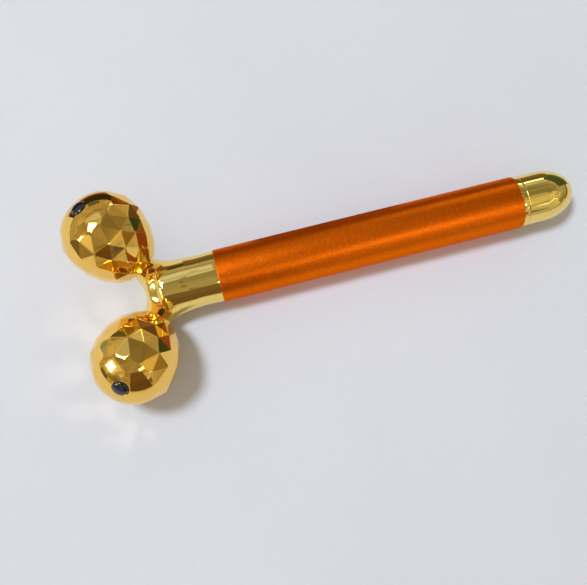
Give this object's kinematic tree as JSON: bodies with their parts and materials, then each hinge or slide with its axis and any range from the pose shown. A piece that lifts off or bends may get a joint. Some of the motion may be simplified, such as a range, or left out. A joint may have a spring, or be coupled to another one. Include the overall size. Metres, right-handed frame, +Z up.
{
  "type": "facial massage roller",
  "caption": "Y-shaped battery-powered face roller: faceted balls on splayed axles, round tube handle and a screwed end cap.",
  "frame": {"origin": "on the handle axis, midway along the coloured tube", "axes": "+X along the handle from the head to the tail, +Z up with the roller lying on its tube and both balls, +Y towards the first ball"},
  "size_m": [0.1738, 0.0709, 0.0314],
  "materials": {
    "anodised_orange": "satin anodised",
    "pale_gold_plate": "plated pale gold, polished",
    "rich_gold_plate": "plated yellow gold, mirror polished",
    "pale_gold_metal": "polished pale gold",
    "black_stone": "polished",
    "steel": "ground",
    "spring_steel": "nickel plated",
    "contact_brass": "bright",
    "bearing_bronze": "oiled",
    "cell_jacket": "glossy jacket",
    "natural_plastic": "natural",
    "black_plastic": "moulded",
    "black_rubber": "moulded",
    "magnet_ferrite": "sintered",
    "winding": "enamelled copper wire on a core",
    "red_wire": "insulated wire",
    "black_wire": "insulated wire"
  },
  "bodies": {
    "handle": {"handle_tube": "anodised_orange", "yoke": "pale_gold_plate", "tail_ring": "pale_gold_metal", "battery_cell": "cell_jacket", "battery_liner": "natural_plastic", "contact_carrier": "black_plastic", "positive_contact": "contact_brass", "earth_ring": "contact_brass", "red_lead": "red_wire", "black_lead": "black_wire", "motor_sleeve": "black_rubber", "motor_can": "steel", "motor_magnet": "magnet_ferrite", "motor_bearing": "bearing_bronze", "motor_end_bell": "natural_plastic", "motor_tabs": "contact_brass", "thrust_washer_a": "steel", "thrust_washer_b": "steel", "axle_a": "steel", "axle_b": "steel", "axle_clip_a": "steel", "axle_clip_b": "steel"},
    "motor_rotor": {"motor_shaft": "steel", "motor_armature": "winding", "eccentric_weight": "steel"},
    "ball_a": {"ball_a": "rich_gold_plate", "stone_a": "black_stone", "front_bush_a": "natural_plastic", "rear_bush_a": "natural_plastic"},
    "ball_b": {"ball_b": "rich_gold_plate", "stone_b": "black_stone", "front_bush_b": "natural_plastic", "rear_bush_b": "natural_plastic"},
    "cap_slider": {"battery_spring": "spring_steel", "spring_disc": "contact_brass"},
    "cap": {"end_cap": "pale_gold_metal", "cap_seal": "black_rubber"}
  },
  "joints": [
    {"name": "ball_a_spin", "type": "hinge", "parent": "handle", "child": "ball_a", "pos_m": [-0.08605, 0.02195, 0.00887], "axis": [-0.3651, 0.582, 0.7266], "continuous": true},
    {"name": "ball_b_spin", "type": "hinge", "parent": "handle", "child": "ball_b", "pos_m": [-0.08605, -0.02195, 0.00887], "axis": [-0.3651, -0.582, 0.7266], "continuous": true},
    {"name": "motor_spin", "type": "hinge", "parent": "handle", "child": "motor_rotor", "pos_m": [-0.056, 0, 0], "axis": [1, 0, 0], "continuous": true},
    {"name": "cap_travel", "type": "slide", "parent": "handle", "child": "cap_slider", "axis": [1, 0, 0], "range_m": [0, 0.0045]},
    {"name": "cap_twist", "type": "hinge", "parent": "cap_slider", "child": "cap", "pos_m": [0.055, 0, 0], "axis": [1, 0, 0], "range_deg": [0, 1080]}
  ],
  "couplings": [
    {"joint": "cap_travel", "follows": "cap_twist", "m_per_rad": 0.00023873}
  ]
}
